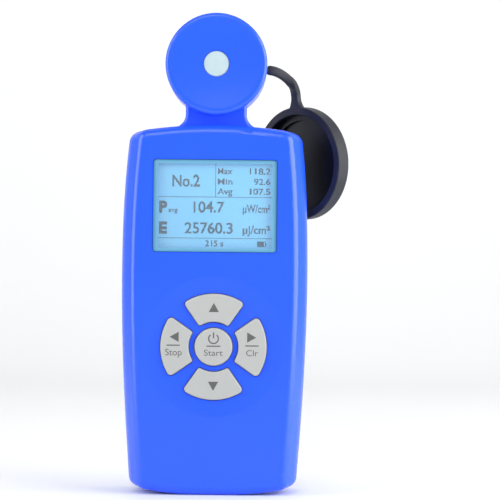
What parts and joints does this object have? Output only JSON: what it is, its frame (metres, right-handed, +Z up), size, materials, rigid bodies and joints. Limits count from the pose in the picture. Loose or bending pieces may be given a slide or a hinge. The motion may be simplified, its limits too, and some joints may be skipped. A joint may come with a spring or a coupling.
{
  "type": "handheld light meter",
  "caption": "Handheld irradiance meter: waisted blue case with a round sensor head on a neck, display, ring keypad, battery door and a tethered rubber sensor cap.",
  "frame": {"origin": "middle of the small flat under the case, where it stands upright", "axes": "+Z up along the case towards the sensor head, -Y out of the face with the display and the sensor, +X to the right seen from the front"},
  "size_m": [0.0784, 0.0473, 0.1646],
  "materials": {
    "case_blue": "glossy moulded blue plastic",
    "diffuser_white": "translucent white, slightly green",
    "black_plastic": "matt black moulding",
    "filter_glass": "dark violet filter glass",
    "metal_can": "plated can",
    "board_green": "green solder mask",
    "screw_steel": "zinc-plated steel",
    "clear_window": "clear acrylic, polished",
    "lcd_glass": "display glass with polariser",
    "backlight": "light-blue light guide",
    "soft_rubber": "grey silicone",
    "key_grey": "light warm grey, satin",
    "contact_metal": "nickel-plated spring metal",
    "cable_grey": "flat ribbon cable",
    "cell_wrap": "shrink-wrapped cell",
    "cap_rubber": "soft charcoal rubber"
  },
  "bodies": {
    "meter": {"front_housing": "case_blue", "rear_housing": "case_blue", "diffuser": "diffuser_white", "sensor_holder": "black_plastic", "optical_filter": "filter_glass", "photodiode": "metal_can", "sensor_board": "board_green", "sensor_board_screws": "screw_steel", "lcd_window": "clear_window", "lcd_frame": "black_plastic", "lcd_glass": "lcd_glass", "lcd_backlight": "backlight", "lcd_connector": "soft_rubber", "keypad_rubber": "soft_rubber", "dome_switches": "contact_metal", "main_board": "board_green", "main_board_screws": "screw_steel", "processor": "black_plastic", "amplifier_chip": "black_plastic", "sensor_cable": "cable_grey", "battery_cells": "cell_wrap", "battery_springs": "contact_metal", "battery_plates": "contact_metal", "case_screws": "screw_steel"},
    "up_key": {"key_up": "key_grey"},
    "down_key": {"key_down": "key_grey"},
    "left_key": {"key_left": "key_grey"},
    "right_key": {"key_right": "key_grey"},
    "power_key": {"key_power": "key_grey"},
    "door": {"battery_door": "case_blue"},
    "strap": {"cap_strap": "cap_rubber"},
    "cap": {"sensor_cap": "cap_rubber"}
  },
  "joints": [
    {"name": "up_key_press", "type": "slide", "parent": "meter", "child": "up_key", "axis": [0, 1, 0], "range_m": [0, 0.0005], "stiffness_N_per_m": 800},
    {"name": "down_key_press", "type": "slide", "parent": "meter", "child": "down_key", "axis": [0, 1, 0], "range_m": [0, 0.0005], "stiffness_N_per_m": 800},
    {"name": "left_key_press", "type": "slide", "parent": "meter", "child": "left_key", "axis": [0, 1, 0], "range_m": [0, 0.0005], "stiffness_N_per_m": 800},
    {"name": "right_key_press", "type": "slide", "parent": "meter", "child": "right_key", "axis": [0, 1, 0], "range_m": [0, 0.0005], "stiffness_N_per_m": 800},
    {"name": "power_key_press", "type": "slide", "parent": "meter", "child": "power_key", "axis": [0, 1, 0], "range_m": [0, 0.0005], "stiffness_N_per_m": 800},
    {"name": "battery_door_hinge", "type": "hinge", "parent": "meter", "child": "door", "pos_m": [0, 0.0135, 0.014], "axis": [-1, 0, 0], "range_deg": [0, 75]},
    {"name": "cap_swivel", "type": "hinge", "parent": "meter", "child": "strap", "pos_m": [0.0174, 0.004, 0.1466], "axis": [1, 0, 0], "range_deg": [0, 150]},
    {"name": "strap_bend", "type": "hinge", "parent": "strap", "child": "cap", "pos_m": [0.02799, 0.01704, 0.13684], "axis": [0.7189, -0.693, 0.0548], "range_deg": [0, 60], "stiffness_Nm_per_rad": 0.001}
  ]
}
